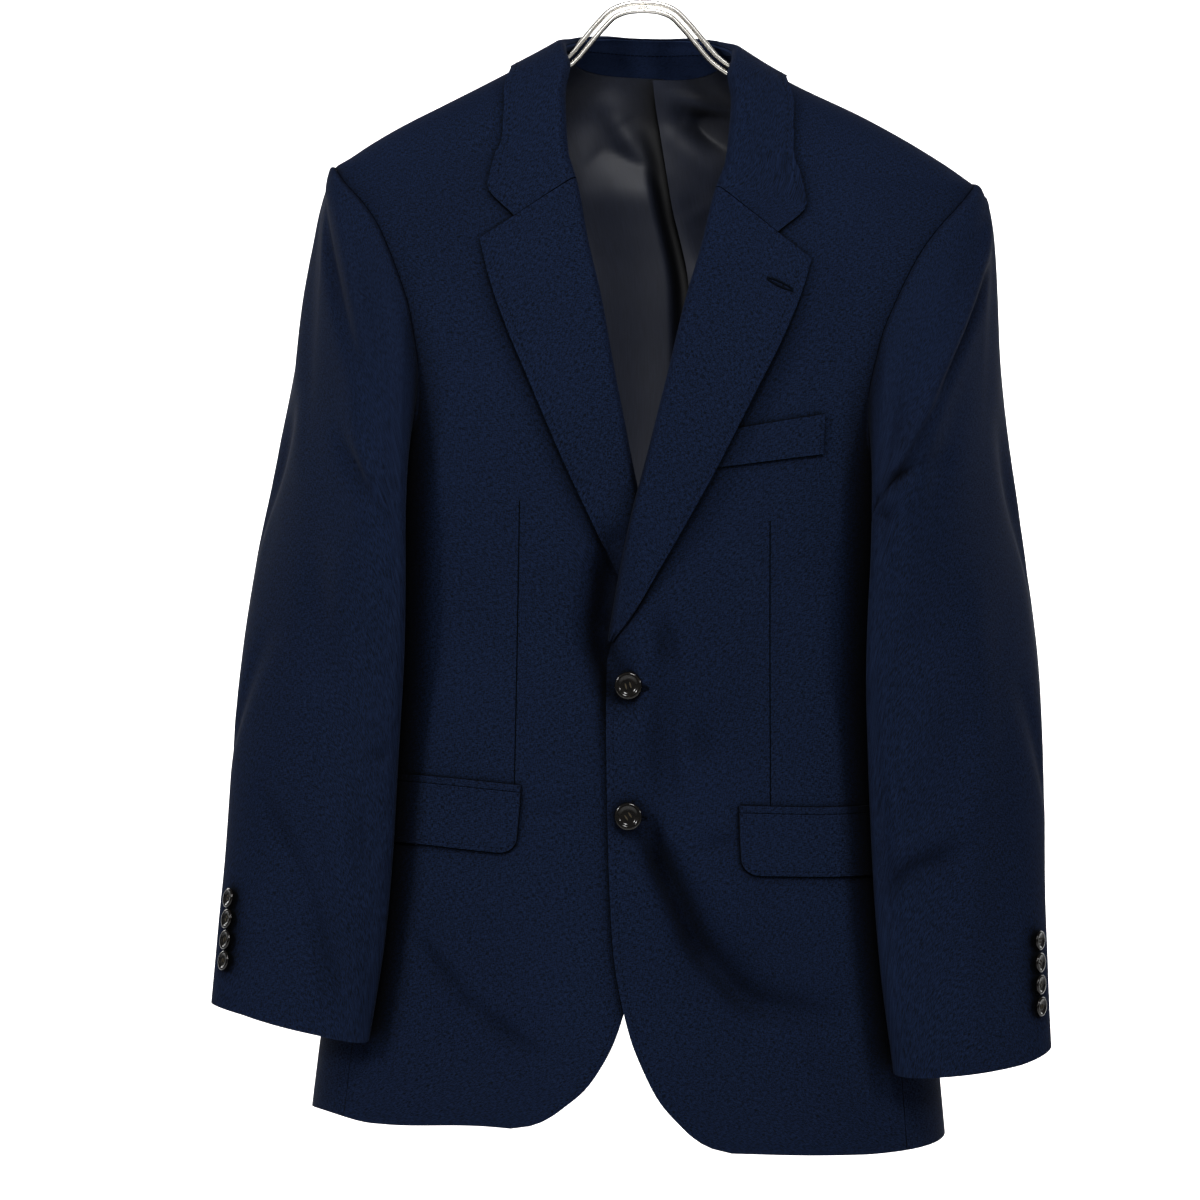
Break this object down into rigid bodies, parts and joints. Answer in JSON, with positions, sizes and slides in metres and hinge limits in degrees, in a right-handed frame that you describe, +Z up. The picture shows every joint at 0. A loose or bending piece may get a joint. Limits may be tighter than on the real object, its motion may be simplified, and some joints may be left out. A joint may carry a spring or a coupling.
{
  "type": "suit jacket on a wire hanger",
  "caption": "Single-breasted tailored jacket with notch lapels and flap pockets, buttoned and hanging on a round-hooked double-wire hanger, with the neck, hem and sleeves open.",
  "frame": {"origin": "the inside top of the hook, where it hangs on a rail", "axes": "+Z up, -Y towards the jacket's front, +X towards the wearer's left"},
  "size_m": [0.6241, 0.1693, 0.9278],
  "materials": {
    "navy_worsted": "matt fine worsted",
    "charcoal_satin": "soft satin lining",
    "dark_horn": "satin horn",
    "chrome": "polished"
  },
  "bodies": {
    "root": {"front_right": "navy_worsted", "side_right": "navy_worsted", "back_right": "navy_worsted", "lapel_right": "navy_worsted", "top_sleeve_right": "navy_worsted", "under_sleeve_right": "navy_worsted", "pocket_flap_right": "navy_worsted", "pocket_jet_right": "navy_worsted", "back_lining_right": "charcoal_satin", "cuff_button_right_1": "dark_horn", "cuff_button_right_2": "dark_horn", "cuff_button_right_3": "dark_horn", "cuff_button_right_4": "dark_horn", "front_left": "navy_worsted", "side_left": "navy_worsted", "back_left": "navy_worsted", "lapel_left": "navy_worsted", "top_sleeve_left": "navy_worsted", "under_sleeve_left": "navy_worsted", "pocket_flap_left": "navy_worsted", "pocket_jet_left": "navy_worsted", "back_lining_left": "charcoal_satin", "cuff_button_left_1": "dark_horn", "cuff_button_left_2": "dark_horn", "cuff_button_left_3": "dark_horn", "cuff_button_left_4": "dark_horn", "collar_fall": "navy_worsted", "collar_stand": "navy_worsted", "breast_welt": "navy_worsted", "front_button_1": "dark_horn", "front_button_2": "dark_horn", "hanger_rods": "chrome", "hanger_hook": "chrome", "hanger_weld": "chrome"}
  },
  "joints": []
}
